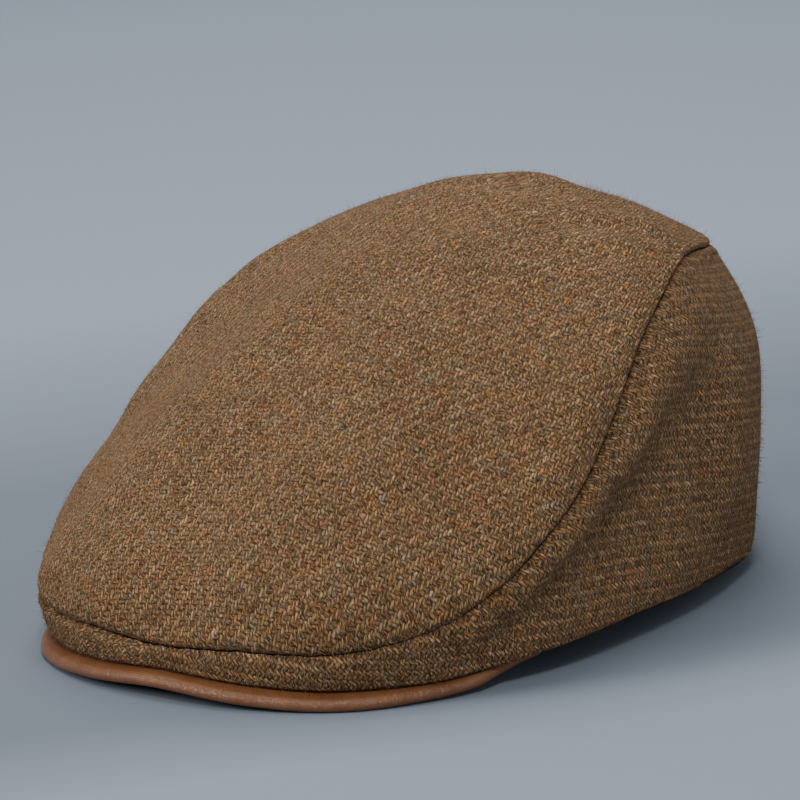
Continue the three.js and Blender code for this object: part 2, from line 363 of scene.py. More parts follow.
# %% Press a panel flat
SHORTEST_STRETCH = 0.01
SMALLEST_GAP = 1e-6
FLATTENING_PACE = 1.6


def cut_edges(rows, columns, closed):
    """Pairs of neighbours in a grid: along, across and both diagonals."""
    index = np.arange(rows * columns).reshape(rows, columns)
    ahead = np.roll(index, -1, axis=0) if closed else index[1:]
    here = index if closed else index[:-1]
    pairs = [
        np.stack([index[:, :-1], index[:, 1:]], -1),
        np.stack([here, ahead], -1),
        np.stack([here[:, :-1], ahead[:, 1:]], -1),
        np.stack([here[:, 1:], ahead[:, :-1]], -1),
    ]
    return np.concatenate([p.reshape(-1, 2) for p in pairs])


def press_flat(points, start, closed, rounds):
    """Flat places of a grid of points, starting from a first guess, with the lengths kept."""
    rows, columns = points.shape[:2]
    pairs = cut_edges(rows, columns, closed)
    solid = points.reshape(-1, 3)
    flat = start.reshape(-1, 2).copy()
    a, b = pairs[:, 0], pairs[:, 1]
    true = np.linalg.norm(solid[a] - solid[b], axis=1)
    keep = true > SHORTEST_STRETCH
    a, b, true = a[keep], b[keep], true[keep]
    count = np.bincount(a, minlength=len(flat)) + np.bincount(b, minlength=len(flat))
    for _ in range(rounds):
        gap = flat[b] - flat[a]
        length = np.maximum(np.linalg.norm(gap, axis=1), SMALLEST_GAP)
        pull = gap * (0.5 * (length - true) / length)[:, None]
        move = np.stack([
            np.bincount(a, pull[:, k], len(flat)) - np.bincount(b, pull[:, k], len(flat)) for k in (0, 1)
        ], -1)
        flat += FLATTENING_PACE * move / count[:, None]
    off = np.abs(np.linalg.norm(flat[b] - flat[a], axis=1) / true - 1)
    return flat.reshape(rows, columns, 2), float(off.mean())


print("pairs of neighbours in 3 rows of 4 points:", len(cut_edges(3, 4, False)))

# %% [markdown]
# The finished panel has many more points than its coarse flat copy. A cubic blend of the four coarse
# points around a place puts each fine point on the flat cloth, so that no thread shows a kink where
# two coarse faces meet. A small class keeps the flat copy and answers for any place on the panel.

# %% Read the cut between its points


def softened(at, knots):
    """Weights that read a coarse grid's values at finer places along one axis, without kinks."""
    i = np.clip(np.searchsorted(knots, at, side="right") - 1, 0, len(knots) - 2)
    t = (at - knots[i]) / (knots[i + 1] - knots[i])
    weights = np.zeros((len(at), len(knots)))
    rows = np.arange(len(at))
    cubic = (
        (-1, -0.5 * t + t**2 - 0.5 * t**3),
        (0, 1 - 2.5 * t**2 + 1.5 * t**3),
        (1, 0.5 * t + 2 * t**2 - 1.5 * t**3),
        (2, -0.5 * t**2 + 0.5 * t**3),
    )
    for offset, weight in cubic:
        np.add.at(weights, (rows, np.clip(i + offset, 0, len(knots) - 1)), weight)
    return weights


class Cut:
    """A panel's flat cut, which gives the place on the cloth for any angle and share."""

    def __init__(self, name, skin, angles, shares, start, closed, rounds):
        points = skin(angles[:, None], shares[None, :])
        self.angles, self.shares = angles, shares
        self.flat, off = press_flat(points, start(points), closed, rounds)
        self.closed = closed
        print(f"{name}: flat cut with lengths off by {100 * off:.1f}% on average")

    def at(self, angles, shares):
        """Place on the flat cloth of a grid with one angle for each row and its own shares."""
        flat, knots = self.flat, self.angles
        if self.closed:
            wrap = 3
            flat = np.concatenate([flat[-wrap:], flat, flat[:wrap]])
            knots = np.concatenate([knots[-wrap:] - 360, knots, knots[:wrap] + 360])
        over = softened(angles, knots)
        rows = np.einsum("ak,kjc->ajc", over, flat)
        found = [softened(share, self.shares) @ row for share, row in zip(shares, rows)]
        return np.array(found)

    def area(self):
        """Area of the flat cut in square millimetres."""
        p = np.concatenate([self.flat, self.flat[:1]]) if self.closed else self.flat
        a, b = p[1:, 1:] - p[:-1, :-1], p[1:, :-1] - p[:-1, 1:]
        return float(np.abs((a[..., 0] * b[..., 1] - a[..., 1] * b[..., 0]) / 2).sum())


print("weights halfway between two points:", softened(np.array([1.5]), np.arange(4.0))[0])

# %% [markdown]
# The pressing needs a first guess. The top panel starts as a star of straight paths from its summit, and
# a side panel as an upright strip on a straight hem. Once they are pressed, the weave runs straight over
# the flat shape, which is also the panel's real cut, and its area is printed.

# %% Cut the panels
COARSE_TURN = 3.0
COARSE_HALF = 91
TOP_STEPS = 25
NEAR_SUMMIT = 0.96
TOP_ROUNDS = 900
SIDE_STEPS = 13
SIDE_ROUNDS = 1500


def flat_top(points):
    """First guess for the top panel: each path to the summit laid straight out from it."""
    length = lengths_along(points[:, ::-1], axis=1)[:, ::-1]
    away = points[:, :1, :2] - np.array([0, SUMMIT_Y])
    return length[..., None] * away / np.linalg.norm(away, axis=-1, keepdims=True)


def flat_side(points):
    """First guess for a side panel: its hem laid straight, its height standing on it."""
    along = lengths_along(points, axis=0).mean(axis=1, keepdims=True)
    up_length = lengths_along(points, axis=1)
    return np.stack([np.broadcast_to(along, up_length.shape), up_length], -1)


coarse_ring = np.arange(0, 360, COARSE_TURN)
coarse_half = np.linspace(0, 180, COARSE_HALF)
to_summit = np.linspace(0, NEAR_SUMMIT, TOP_STEPS)
to_seam = np.linspace(0, 1, SIDE_STEPS)
top_cut = Cut("top panel", top_skin, coarse_ring, to_summit, flat_top, True, TOP_ROUNDS)
side_cut = Cut("side panel", side_skin, coarse_half, to_seam, flat_side, False, SIDE_ROUNDS)
print("cut areas in square mm:", round(top_cut.area()), round(side_cut.area()))

# %% [markdown]
# Real cloth is never as even as a formula. Wide, low swells across the panels keep the light from
# running over them too smoothly. Each swell is a wave in space with a direction, a length and a
# start of its own, thrown by seeded dice, and the cloth's height is the sum of them all.

# %% Let the cloth swell
SWELL_HEIGHT = 0.28
SWELL_LENGTHS = (20, 62)
SWELL_COUNT = 26
SWELL_SEED = 7
TINY = 1e-9


def unit(vectors):
    """Vectors with their length set to one."""
    return vectors / np.maximum(np.linalg.norm(vectors, axis=-1, keepdims=True), TINY)


waves = np.random.default_rng(SWELL_SEED)
wave_turn = unit(waves.normal(size=(SWELL_COUNT, 3)))
wave_turn *= (2 * math.pi / waves.uniform(*SWELL_LENGTHS, SWELL_COUNT))[:, None]
wave_start = waves.uniform(0, 2 * math.pi, SWELL_COUNT)


def unevenness(points):
    """Low swells of the cloth, in millimetres."""
    total = np.sin(np.einsum("...k,wk->...w", points, wave_turn) + wave_start).sum(-1)
    return SWELL_HEIGHT * total / math.sqrt(SWELL_COUNT / 2)


summit_swell = unevenness(np.array([0, SUMMIT_Y, SUMMIT_HEIGHT]))
print("swell at the summit:", round(float(summit_swell), 2), "mm")

# %% [markdown]
# A few soft folds lie where the top panel is pulled towards the back. A fold is given by where it
# starts and ends, seen from above, with its width and height.
# No cap follows its pattern exactly either. A short list of nudges moves the cloth by a millimetre or
# two around a place, straight away from the cap's middle or towards it. Both panels beside a seam
# then move alike, and the seam stays shut.

# %% Lay the folds and nudge the outline
FOLD_TAPER = 0.42
FOLDS = (
    # start x, start y, end x, end y, width, height
    (20, 38, 62, 56, 3.6, 0.9),
    (34, 24, 70, 44, 4.2, 0.8),
    (28, 31, 64, 50, 3.4, -0.8),
    (44, 12, 76, 32, 5.0, 0.4),
    (-70, -52, -40, -104, 7.0, -0.6),
    (8, 58, 40, 76, 5.0, 0.6),
)
NUDGE_MIDDLE = 30
NUDGES = (
    # x, y, z, radius, height
    (-20, 55, 114, 18, 1.7),
    (-65, 37, 99, 14, -1.4),
    (-75, -1, 81, 12, 1.6),
    (-80, -20, 66, 12, -1.1),
    (-82, -42, 51, 19, -3.0),
    (-60, -96, 14, 14, 1.6),
    (3, 66, 114, 12, 1.4),
    (40, 87, 101, 13, -2.0),
    (58, 89, 76, 16, 0.8),
    (71, 78, 39, 16, -0.5),
    (72, 69, 9, 12, 1.4),
)


def bell(distance, width):
    """One where there is no distance, fading softly to nothing about two widths away."""
    return np.exp(-((distance / width) ** 2))


def fold_height(points):
    """Height of the soft folds of the top panel, in millimetres."""
    height = np.zeros(points.shape[:-1])
    for x0, y0, x1, y1, width, tall in FOLDS:
        start, line = np.array([x0, y0]), np.array([x1 - x0, y1 - y0])
        length = np.linalg.norm(line)
        t = (points[..., :2] - start) @ line / length**2
        aside = np.linalg.norm(points[..., :2] - start - t[..., None] * line, axis=-1)
        taper = np.exp(-(((t - 0.5) / FOLD_TAPER) ** 4))
        height += tall * bell(aside, width) * taper
    return height


def nudged(points):
    """Points moved out or in near the places listed above, straight away from the cap's middle."""
    out = unit(points - np.array([0, PLAN_CENTRE_Y, NUDGE_MIDDLE]))
    height = np.zeros(points.shape[:-1])
    for x, y, z, radius, tall in NUDGES:
        height += tall * np.exp(-((points - np.array([x, y, z])) ** 2).sum(-1) / radius**2)
    return points + out * height[..., None]


largest_nudge = max(abs(nudge[-1]) for nudge in NUDGES)
print(len(FOLDS), "folds and", len(NUDGES), "nudges of up to", largest_nudge, "mm")

# %% [markdown]
# Below the seam the side panel puffs out and then sinks into a valley, which runs with the seam and
# widens towards the back. Its table gives how far below the seam the valley lies, and its depth, both
# in millimetres. The puff and the valley are two soft bells, laid at shares of that distance.

# %% Sink the valley of the side panels
VALLEY = table(
    "angle away depth",
    (0, 24, 0),
    (35, 23, 0),
    (50, 26, 1),
    (67.5, 29, 2.3),
    (80, 26, 2.4),
    (90, 20, 2.3),
    (103, 15, 2.1),
    (118, 14, 1.9),
    (127, 12.5, 1.2),
    (139, 10, 0),
    (180, 9, 0),
)
VALLEY_AT = 1.05
VALLEY_WIDTH = 0.42
VALLEY_START = 2
CREST_AT = 0.42
CREST_WIDTH = 0.34
CREST_HEIGHT = 0.9


def rising(distance, width):
    """From nothing where there is no distance to one a width away."""
    return np.clip(distance / width, 0, 1)


def side_valley(from_seam, angle):
    """Height of the puff and the valley below the seam of a side panel, in millimetres."""
    share = from_seam / read(VALLEY, "away", angle)
    crest = CREST_HEIGHT * bell(share - CREST_AT, CREST_WIDTH)
    valley = bell(share - VALLEY_AT, VALLEY_WIDTH)
    return read(VALLEY, "depth", angle) * rising(from_seam, VALLEY_START) * (crest - valley)


print("valley over the ear:", round(float(side_valley(21.0, 90.0)), 2), "mm")

# %% [markdown]
# Two panels are sewn with their edges turned in, so each seam is a narrow valley between two soft
# rolls. A tuck pulls both faces of a panel in by about half a millimetre right at the edge and fades
# out within two. It is shallower at the middle of the front, where the strip is drawn tight. Beside
# the seam the turned edge lies under the cloth and lifts it in a low, uneven roll, which stands a
# little higher on the side panels.

# %% Pull the edges into the seams
TUCK_DEPTH = 0.6
TUCK_REACH = 0.9
FRONT_TUCK = 0.3
LIP_HEIGHT = 0.3
LIP_FROM_SEAM = 2.4
LIP_WIDTH = 1.5
LIP_UNEVEN = 0.9
SIDE_LIP = 1.3
LOW_MIDDLE = 20


def tucked(points, outward, *edges):
    """Points pulled in near the sewn edges, given their distance from each edge and its depth."""
    pull = np.zeros(points.shape[:-1])
    for distance, depth in edges:
        pull = np.maximum(pull, depth * bell(distance, TUCK_REACH))
    return points - outward * pull[..., None]


def lip(from_seam, angle):
    """The soft roll beside a seam, where the turned edge lies under the cloth."""
    return LIP_HEIGHT * bell(from_seam - LIP_FROM_SEAM, LIP_WIDTH) * (1 + LIP_UNEVEN * pucker(angle))


def grid_normals(points, closed):
    """Direction out of the cap for each point of a grid, from its neighbours."""
    if closed:
        around = np.roll(points, -1, axis=0) - np.roll(points, 1, axis=0)
    else:
        around = np.gradient(points, axis=0)
    normal = unit(np.cross(around, np.gradient(points, axis=1)))
    # A point low inside the cap tells out from in.
    middle = np.array([0, PLAN_CENTRE_Y, LOW_MIDDLE])
    outside = np.sign(((points - middle) * normal).sum(-1).mean())
    return normal * outside


print("highest roll beside the seam:", round(LIP_HEIGHT * (1 + LIP_UNEVEN) * SIDE_LIP, 2), "mm")

# %% [markdown]
# A panel becomes a closed body: its outside, its inside one cloth's thickness further in, and the
# turned edges that join them. The mesh is written straight from the grid of points, and the places on
# the flat cut become its UV map, in millimetres of cloth.

# %% Build meshes from grids


def mesh_object(name, points, faces, cloth_places):
    """A smooth-shaded mesh with a UV map that holds each point's place on the cloth."""
    mesh = bpy.data.meshes.new(name)
    mesh.from_pydata((np.asarray(points) * MM).tolist(), [], faces)
    layer = mesh.uv_layers.new(name="cloth")
    corners = np.zeros(len(mesh.loops), int)
    mesh.loops.foreach_get("vertex_index", corners)
    layer.data.foreach_set("uv", np.asarray(cloth_places, float)[corners].ravel())
    mesh.polygons.foreach_set("use_smooth", np.ones(len(mesh.polygons), bool))
    mesh.validate()
    made = bpy.data.objects.new(name, mesh)
    bpy.context.scene.collection.objects.link(made)
    print(name, len(mesh.vertices), "points,", len(mesh.polygons), "faces")
    return made


def loop_faces(count, size, closed):
    """Four-sided faces between each closed loop of points and the next."""
    i = np.arange(count if closed else count - 1)[:, None]
    j = np.arange(size)[None, :]
    ahead, after = (i + 1) % count, (j + 1) % size
    quads = [i * size + j, ahead * size + j, ahead * size + after, i * size + after]
    return np.stack(np.broadcast_arrays(*quads), -1).reshape(-1, 4).tolist()


def end_faces(start, size, turned):
    """Faces over the end of a loop whose second half runs back beside its first."""
    faces = []
    for j in range(size // 2 - 1):
        quad = [start + j, start + j + 1, start + size - 2 - j, start + size - 1 - j]
        faces.append(quad[::-1] if turned else quad)
    return faces


print("a strip of 4 loops of 6 points has", len(loop_faces(4, 6, False)), "faces along it")
print("and", len(end_faces(0, 6, True)), "at each end")

# %% [markdown]
# The side panels come first. Each runs from the seam at the middle of the back, over the ear, down to
# the low strip over the peak and to the middle of the front. Its hem is turned, so its lower edge is
# a half round, and its other three edges are tucked into their seams.

# %% Sew the side panels
SIDE_PLAIN_ROWS = 44
SIDE_FINE_ROWS = 14
SIDE_EDGE = 5
COLUMN_STEP = 0.75
END_SPAN = 4 * COLUMN_STEP
END_COLUMNS = 12
CALM_ABOVE_HEM = 8
CALM_BELOW_SEAM = 6
LEVEL_ABOVE_HEM = 3


def side_angles():
    """Angles of the side panel's columns, close together at the middle of the back and front."""
    cut = np.degrees(SEWN_GAP / 2 / hem_reach(np.array([0.0, 180.0])))
    plain = np.arange(END_SPAN, 180 - END_SPAN + 0.01, COLUMN_STEP)
    back = np.linspace(cut[0], END_SPAN, END_COLUMNS, endpoint=False)
    front = np.linspace(180 - cut[1], 180 - END_SPAN, END_COLUMNS, endpoint=False)[::-1]
    return np.concatenate([back, plain, front])


def side_panel(name, hand):
    """A side panel with its outside and directions; hand is 1 on the wearer's left, -1 on the right."""
    mirror = np.array([hand, 1, 1])
    angles = side_angles()
    shares = shares_at(side_skin, angles, crowded(SIDE_PLAIN_ROWS, SIDE_FINE_ROWS, SIDE_EDGE, True))
    skin = side_skin(angles[:, None], shares)
    outward = grid_normals(skin, False)
    upward = lengths_along(skin, axis=1)
    from_seam = upward[:, -1:] - upward
    forward = lengths_along(skin, axis=0)
    # Swells and nudges are read on the panel's own side, so that left and right differ as in cloth.
    here = skin * mirror
    calm = rising(upward, CALM_ABOVE_HEM) * rising(from_seam, CALM_BELOW_SEAM)
    relief = calm * unevenness(here) + SIDE_LIP * lip(from_seam, angles[:, None])
    relief += side_valley(from_seam, angles[:, None])
    skin = nudged(here) * mirror
    back_edge = (forward, TUCK_DEPTH)
    front_edge = (forward[-1:] - forward, TUCK_DEPTH * FRONT_TUCK)
    sewn = tucked(skin, outward, (from_seam, TUCK_DEPTH), back_edge, front_edge)
    outside = sewn + outward * relief[..., None]
    inside = sewn - outward * CLOTH
    # Near the hem the inside lies level behind the outside, one thickness in.
    level = place(angles[:, None], 1.0, 0.0) - place(angles[:, None], 0.0, 0.0)
    blend = bell(upward, LEVEL_ABOVE_HEM)[..., None]
    inside = inside * (1 - blend) + (skin - level * CLOTH) * blend
    inside[..., 2] = np.maximum(inside[..., 2], hem_height(angles)[:, None])
    # Over the last half thickness both faces close in, and they meet in a half round at the hem.
    half = CLOTH / 2
    rounding = np.clip(1 - upward / half, 0, 1)[..., None]
    closing = level * half * (1 - np.sqrt(np.clip(1 - rounding**2, 0, 1)))
    outside = outside - closing
    inside = inside + closing
    loops = np.concatenate([outside, inside[:, ::-1]], axis=1)
    count, size = loops.shape[:2]
    places = side_cut.at(angles, shares)
    cloth = np.concatenate([places, places[:, ::-1]], axis=1) * np.array([hand, 1])
    faces = loop_faces(count, size, False)
    faces += end_faces(0, size, False) + end_faces((count - 1) * size, size, True)
    if hand < 0:
        faces = [face[::-1] for face in faces]
    panel = mesh_object(name, (loops * mirror).reshape(-1, 3), faces, cloth.reshape(-1, 2))
    return panel, outside * mirror, outward * mirror


side_left, left_skin, left_out = side_panel("side_panel_left", 1)
side_right, right_skin, right_out = side_panel("side_panel_right", -1)

# %% [markdown]
# The top panel is one piece of cloth from the front edge over the summit to the back. Written as
# paths that meet at the summit it would show a faint star there, so its middle is smoothed the way a
# presser's steam does it: each height moves towards the mean of its surroundings, and the edges stay.

# %% Steam the middle of the top panel
STEAM_REACH = 8
STEAM_STEP = 3
STEAM_ACROSS = (-90, 90.1)
STEAM_ALONG = (-120, 115.1)
HALVINGS = 22


def top_height(x, y):
    """Height of the top skin above places in the plan, found by halving the share."""
    angles = np.arange(0, 361.0)
    seam = place(angles, seam_reach(angles), 0.0)
    turns = np.degrees(np.unwrap(np.arctan2(seam[:, 0], seam[:, 1] - SUMMIT_Y)))
    angle = np.interp(np.degrees(np.arctan2(x, y - SUMMIT_Y)) % 360, turns, angles)
    reach = np.hypot(x, y - SUMMIT_Y)
    low, high = np.zeros_like(reach), np.ones_like(reach)
    for _ in range(HALVINGS):
        share = (low + high) / 2
        point = top_skin(angle, share)
        outside = np.hypot(point[..., 0], point[..., 1] - SUMMIT_Y) > reach
        low, high = np.where(outside, share, low), np.where(outside, high, share)
    return top_skin(angle, share)[..., 2]


def steamed(points, share):
    """Heights blended with a soft mean of their surroundings, by a share for each point."""
    x = np.arange(*STEAM_ACROSS, STEAM_STEP)
    y = np.arange(*STEAM_ALONG, STEAM_STEP)
    heights = top_height(x[:, None] + 0 * y, y + 0 * x[:, None])
    across = np.exp(-(((points[..., 0, None] - x) / STEAM_REACH) ** 2) / 2)
    along = np.exp(-(((points[..., 1, None] - y) / STEAM_REACH) ** 2) / 2)
    mean = ((across @ heights) * along).sum(-1) / (across.sum(-1) * along.sum(-1))
    smooth = points.copy()
    smooth[..., 2] += share * (mean - points[..., 2])
    return smooth


summit = np.array([[0, SUMMIT_Y, SUMMIT_HEIGHT]])
print("steam lowers the summit by", round(float(SUMMIT_HEIGHT - steamed(summit, 1.0)[0, 2]), 2), "mm")

# %% [markdown]
# The panel is then laid as rings of points from the seam up to the summit, close together at the
# seam. It gets its folds, its swells and the roll beside the seam, and its edge is tucked in. At the
# summit the last ring is small, and one many-sided face closes it on the outside and one below.

# %% Lay the top panel
TOP_COLUMNS = 400
TOP_PLAIN_ROWS = 64
TOP_FINE_ROWS = 16
TOP_EDGE = 6
LAST_RING = 0.995
STEAM_FROM = 18
STEAM_FADE = 26
FOLDS_FROM = 3
TOP_FADE = 6
LEVEL_AT_SEAM = 2


def top_panel(name):
    """The top panel with its outside and directions."""
    angles = np.arange(TOP_COLUMNS) * 360 / TOP_COLUMNS
    marks = crowded(TOP_PLAIN_ROWS, TOP_FINE_ROWS, TOP_EDGE, False)
    shares = shares_at(top_skin, angles, lambda total: np.minimum(marks(total), LAST_RING))
    shares = np.clip(shares, 0, LAST_RING)
    skin = top_skin(angles[:, None], shares)
    from_seam = lengths_along(skin, axis=1)
    calm = rising(from_seam - STEAM_FROM, STEAM_FADE)
    skin = steamed(skin, calm**2 * (3 - 2 * calm))
    outward = grid_normals(skin, True)
    relief = rising(from_seam - FOLDS_FROM, TOP_FADE) * fold_height(skin)
    relief += rising(from_seam, TOP_FADE) * unevenness(skin) + lip(from_seam, angles[:, None])
    sewn = tucked(nudged(skin), outward, (from_seam, TUCK_DEPTH))
    outside = sewn + outward * relief[..., None]
    inside = sewn - outward * CLOTH
    # Near the seam the inside lies level behind the outside, one thickness in.
    level = unit(np.concatenate([outward[:, :1, :2], np.zeros((len(angles), 1, 1))], -1))
    blend = bell(from_seam, LEVEL_AT_SEAM)[..., None]
    inside = inside * (1 - blend) + (sewn - level * CLOTH) * blend
    inside[..., 2] = np.maximum(inside[..., 2], seam_height(angles)[:, None] + SEWN_GAP / 2)
    loops = np.concatenate([inside[:, ::-1], outside], axis=1)
    size = loops.shape[1]
    places = top_cut.at(angles, np.minimum(shares, top_cut.shares[-1]))
    cloth = np.concatenate([places[:, ::-1], places], axis=1)
    points = loops.reshape(-1, 3)
    faces = [face for face in loop_faces(len(angles), size, True) if face[0] % size != size - 1]
    under = list(range(0, len(points), size))
    over = list(range(size - 1, len(points), size))
    faces += [under, over[::-1]]
    panel = mesh_object(name, points, faces, cloth.reshape(-1, 2))
    return panel, outside, outward


crown, crown_skin, crown_out = top_panel("top_panel")

# %% [markdown]
# The peak is a stiff board with leather wrapped round its edge. Its outer edge is a soft roll, its
# upper face rises under the hem, and the leather is pulled tight, so there is no fold or stitch.
# A sweep of rounded sections follows the hem from one temple to the other.

# %% Wrap the peak
PEAK_COLUMNS = 220
NOSE_STEPS = 10
PEAK_ROWS = 12


def peak_piece(name):
    """The peak, swept along the hem."""
    slope = math.tan(math.radians(PEAK_SLOPE))
    angles = np.linspace(PEAK_END, 360 - PEAK_END, PEAK_COLUMNS + 1)
    thick = PEAK_THICK * read(PEAK, "thick", angles)
    width = PEAK_WIDTH * read(PEAK, "width", angles)
    reveal = PEAK_REVEAL * read(PEAK, "reveal", angles)
    edge = hem_reach(angles) + reveal
    low = hem_height(angles) - PEAK_GAP - thick - slope * (reveal + CLOTH)
    upper, lower = [], []
    for k in range(NOSE_STEPS + 1):
        turn = math.pi / 2 * k / NOSE_STEPS
        back = thick / 2 * (1 - math.cos(turn))
        drop = thick / 2 * math.sin(turn)
        line = low + thick / 2 + slope * back
        upper.append(place(angles, edge - back, line + drop))
        lower.append(place(angles, edge - back, line - drop))
    for share in np.arange(1, PEAK_ROWS + 1) / PEAK_ROWS:
        back = thick / 2 + (width - thick / 2) * share
        upper.append(place(angles, edge - back, low + thick + slope * back))
        lower.append(place(angles, edge - back, low + slope * back))
    loops = np.stack(upper[::-1] + lower[1:], axis=1)
    edge_row = len(upper) - 1
    around = lengths_along(loops, axis=1)
    around = around - around[:, [edge_row]]
    along = lengths_along(loops, axis=0)[:, [edge_row]]
    leather = np.stack(np.broadcast_arrays(along, around), -1)
    count, size = loops.shape[:2]
    faces = loop_faces(count, size, False)
    faces += end_faces(0, size, False) + end_faces((count - 1) * size, size, True)
    points = loops.reshape(-1, 3)
    return mesh_object(name, points, faces, leather.reshape(-1, 2))


peak = peak_piece("leather_peak")

# %% [markdown]
# A grid's faces may wind either way round, and a face that looks inwards would be shaded wrongly.
# Blender has its own tool that finds the outside of a closed body, so each piece goes through it.

# %% Turn the faces outwards
for piece in (side_left, side_right, crown, peak):
    bpy.context.view_layer.objects.active = piece
    bpy.ops.object.select_all(action="DESELECT")
    piece.select_set(True)
    bpy.ops.object.mode_set(mode="EDIT")
    bpy.ops.mesh.select_all(action="SELECT")
    bpy.ops.mesh.normals_make_consistent(inside=False)
    bpy.ops.object.mode_set(mode="OBJECT")
    print(piece.name, "faces turned out")

# %% [markdown]
# Finishes are built from nodes. Written out one by one they are hard to follow, so a bench puts a
# node into a tree, joins it and hands back its output. Then a line of code reads like the sum that it
# stands for. A value given to the bench is either a number or the output of another node.

# %% Set up a bench for nodes
NODE_STEP = 180


def new_group(name, inputs, outputs):
    """An empty node group with named inputs and outputs."""
    group = bpy.data.node_groups.new(name, "ShaderNodeTree")
    for label, kind, value in inputs:
        socket = group.interface.new_socket(name=label, in_out="INPUT", socket_type=kind)
        if value is not None:
            socket.default_value = value
    for label, kind in outputs:
        group.interface.new_socket(name=label, in_out="OUTPUT", socket_type=kind)
    return group


class Bench:
    """A short way to add nodes to a tree and join them."""

    def __init__(self, tree):
        self.tree = tree
        self.x = 0

    def put(self, kind, **settings):
        """A new node with its settings."""
        node = self.tree.nodes.new(kind)
        node.location = (self.x, 0)
        self.x += NODE_STEP
        for name, value in settings.items():
            setattr(node, name, value)
        return node

    def join(self, source, socket):
        """Join a node's output to an input, or write a plain value into it."""
        if hasattr(source, "is_output"):
            self.tree.links.new(source, socket)
        else:
            socket.default_value = source

    def fill(self, node, values):
        """Join values to a node's inputs by name."""
        for name, value in values.items():
            self.join(value, node.inputs[name.replace("_", " ")])
        return node

    def maths(self, operation, a, b=0.0):
        """A sum with one or two numbers."""
        node = self.put("ShaderNodeMath", operation=operation)
        self.join(a, node.inputs[0])
        self.join(b, node.inputs[1])
        return node.outputs[0]

    def move(self, vector, operation, other):
        """A sum with two vectors."""
        node = self.put("ShaderNodeVectorMath", operation=operation)
        self.join(vector, node.inputs[0])
        self.join(other, node.inputs[1])
        return node.outputs[0]

    def scale(self, vector, amount):
        """A vector or a colour times a number."""
        node = self.put("ShaderNodeVectorMath", operation="SCALE")
        self.join(vector, node.inputs[0])
        self.join(amount, node.inputs["Scale"])
        return node.outputs[0]

    def mix(self, share, a, b):
        """Number a where share is 0 and b where it is 1."""
        node = self.put("ShaderNodeMix", data_type="FLOAT")
        for value, socket in zip((share, a, b), (0, 2, 3)):
            self.join(value, node.inputs[socket])
        return node.outputs[0]

    def blend(self, share, a, b, way="MIX"):
        """Colour a where share is 0 and b where it is 1."""
        node = self.put("ShaderNodeMix", data_type="RGBA", blend_type=way)
        for value, socket in zip((share, a, b), (0, 6, 7)):
            self.join(value, node.inputs[socket])
        return node.outputs[2]

    def vector(self, x, y, z):
        """A vector from three numbers."""
        node = self.put("ShaderNodeCombineXYZ")
        for value, socket in zip((x, y, z), node.inputs):
            self.join(value, socket)
        return node.outputs[0]

    def parts(self, vector):
        """The x, y and z of a vector, or the red, green and blue of a colour."""
        node = self.put("ShaderNodeSeparateXYZ")
        self.join(vector, node.inputs[0])
        return node.outputs

    def noise(self, place, scale, detail=2.0, rough=0.5):
        """The node of a soft noise; its first output is a number, the second a colour."""
        node = self.put("ShaderNodeTexNoise")
        return self.fill(node, {"Vector": place, "Scale": scale, "Detail": detail, "Roughness": rough})

    def chance(self, place):
        """A chance number that is the same all over one whole place."""
        node = self.put("ShaderNodeTexWhiteNoise", noise_dimensions="3D")
        return self.fill(node, {"Vector": place}).outputs[0]

    def stretch(self, value, low, high, start=0.0, end=1.0):
        """A value from low to high laid out from start to end."""
        node = self.put("ShaderNodeMapRange")
        for number, socket in zip((value, low, high, start, end), node.inputs):
            self.join(number, socket)
        return node.outputs[0]

    def ramp(self, value, *stops):
        """Colours at their places between 0 and 1."""
        node = self.put("ShaderNodeValToRGB")
        self.join(value, node.inputs[0])
        points = node.color_ramp.elements
        while len(points) < len(stops):
            points.new(0.5)
        for point, (place, colour) in zip(points, stops):
            point.position = place
            point.color = (*colour, 1)
        return node.outputs[0]

    def bump(self, height, depth, **under):
        """A normal for a relief of a depth, laid over another normal if one is given."""
        node = self.put("ShaderNodeBump")
        return self.fill(node, {"Height": height, "Distance": depth, **under}).outputs[0]

    def use(self, group, **values):
        """A node that uses a group, with its inputs joined by name."""
        return self.fill(self.put("ShaderNodeGroup", node_tree=group), values)

    def surface(self, **values):
        """The material's shader, with its inputs joined by name."""
        shader = self.fill(self.put("ShaderNodeBsdfPrincipled"), values)
        self.fill(self.put("ShaderNodeOutputMaterial"), {"Surface": shader.outputs[0]})


def new_material(name):
    """An empty material and a bench for its nodes."""
    made = bpy.data.materials.new(name)
    made.use_nodes = True
    made.node_tree.nodes.clear()
    return made, Bench(made.node_tree)


print("the bench knows", len([name for name in vars(Bench) if name[0] != "_"]), "moves")

# %% [markdown]
# The wool is a coarse two-and-two twill: each thread passes over two and under two, and each row
# starts one thread further on. The eye sees slanted ribs about three millimetres apart, made of
# short floats that lie one way in one rib and the other way in the next.
# A painted picture would be too coarse, so a node group works it out from the place on the cloth:
# which thread is on top, how far along its float a point is, and how high it stands. The warp threads
# lie 0.96 mm apart and the weft 1.4 mm, as counted on the cap.

# %% Weave the twill
WARP_SPACING = 0.96
WEFT_SPACING = 1.40
THREAD_STRAYING = 1.1
STRAYING_SCALE = 0.45
FLOAT_FULLNESS = 2.4
FLOAT_BOW = 0.4
WEFT_LEVEL = 0.45
WARP_LEVEL = 0.6
FIBRES_ALONG = 0.6
FIBRES_ACROSS = 2.5
FIBRE_TWIST = 1.2
FIBRE_ROUGHNESS = 0.6
FIBRE_RANGE = (0.37, 0.63)


